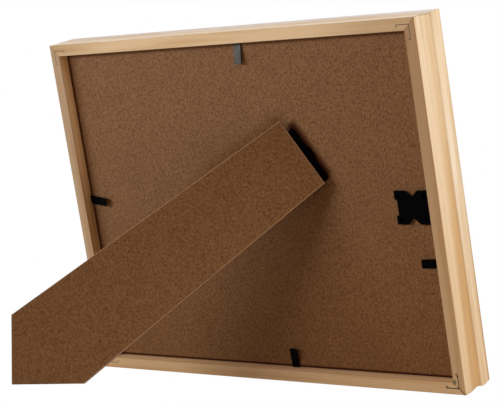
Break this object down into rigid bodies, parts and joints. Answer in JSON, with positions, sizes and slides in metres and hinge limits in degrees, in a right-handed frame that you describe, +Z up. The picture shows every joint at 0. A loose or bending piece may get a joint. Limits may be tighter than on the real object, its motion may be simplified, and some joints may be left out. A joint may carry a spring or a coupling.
{
  "type": "easel back photo frame",
  "caption": "Landscape picture frame of mitred pine rails, with a hardboard back held by bendable tabs, a side hanger plate and a hinged hardboard leg that props it on a table.",
  "frame": {"origin": "on the table, below the middle of the standing frame and its opened leg", "axes": "+Z up, picture towards -Y, leg and backing towards +Y, +X along the frame's width to the left as seen from behind"},
  "size_m": [0.3242, 0.161, 0.2472],
  "materials": {
    "pine": "sanded, clear matt",
    "hardboard_back": "smooth pressed fibre",
    "hardboard_leg": "smooth pressed fibre",
    "clear_glass": "polished",
    "insert_paper": "uncoated paper",
    "nail_steel": "blued edge",
    "tab_steel": "black oxide, satin",
    "black_steel": "black, satin"
  },
  "bodies": {
    "frame": {"bottom_rail": "pine", "top_rail": "pine", "left_rail": "pine", "right_rail": "pine", "bottom_right_v_nail": "nail_steel", "bottom_left_v_nail": "nail_steel", "top_left_v_nail": "nail_steel", "top_right_v_nail": "nail_steel", "top_tab_root": "tab_steel", "bottom_tab_root": "tab_steel", "left_tab_root": "tab_steel", "right_tab_root": "tab_steel", "glass_pane": "clear_glass", "photo_insert": "insert_paper", "backing_board": "hardboard_back", "hanger_plate": "black_steel", "hinge_board_leaf": "black_steel", "hinge_pin": "black_steel", "hinge_rivet_1": "black_steel", "hinge_rivet_2": "black_steel", "hinge_rivet_3": "black_steel"},
    "leg": {"easel_leg": "hardboard_leg", "hinge_leg_leaf": "black_steel"},
    "tab_top": {"top_tab": "tab_steel"},
    "tab_bottom": {"bottom_tab": "tab_steel"},
    "tab_left": {"left_tab": "tab_steel"},
    "tab_right": {"right_tab": "tab_steel"}
  },
  "joints": [
    {"name": "leg_hinge", "type": "hinge", "parent": "frame", "child": "leg", "pos_m": [-0.0575, -0.02018, 0.15866], "axis": [0.5753, 0.1905, 0.7955], "range_deg": [-30.2, 0]},
    {"name": "top_tab_bend", "type": "hinge", "parent": "frame", "child": "tab_top", "pos_m": [-0.011, -0.00364, 0.23377], "axis": [1, 0, 0], "range_deg": [-10, 75]},
    {"name": "bottom_tab_bend", "type": "hinge", "parent": "frame", "child": "tab_bottom", "pos_m": [-0.0186, -0.05727, 0.00982], "axis": [-0.9945, -0.0243, -0.1017], "range_deg": [-10, 75]},
    {"name": "left_tab_bend", "type": "hinge", "parent": "frame", "child": "tab_left", "pos_m": [0.15309, -0.02916, 0.12719], "axis": [0.1045, -0.2316, -0.9672], "range_deg": [-10, 75]},
    {"name": "right_tab_bend", "type": "hinge", "parent": "frame", "child": "tab_right", "pos_m": [-0.1534, -0.0392, 0.08527], "axis": [0, 0.2329, 0.9725], "range_deg": [-10, 75]}
  ]
}
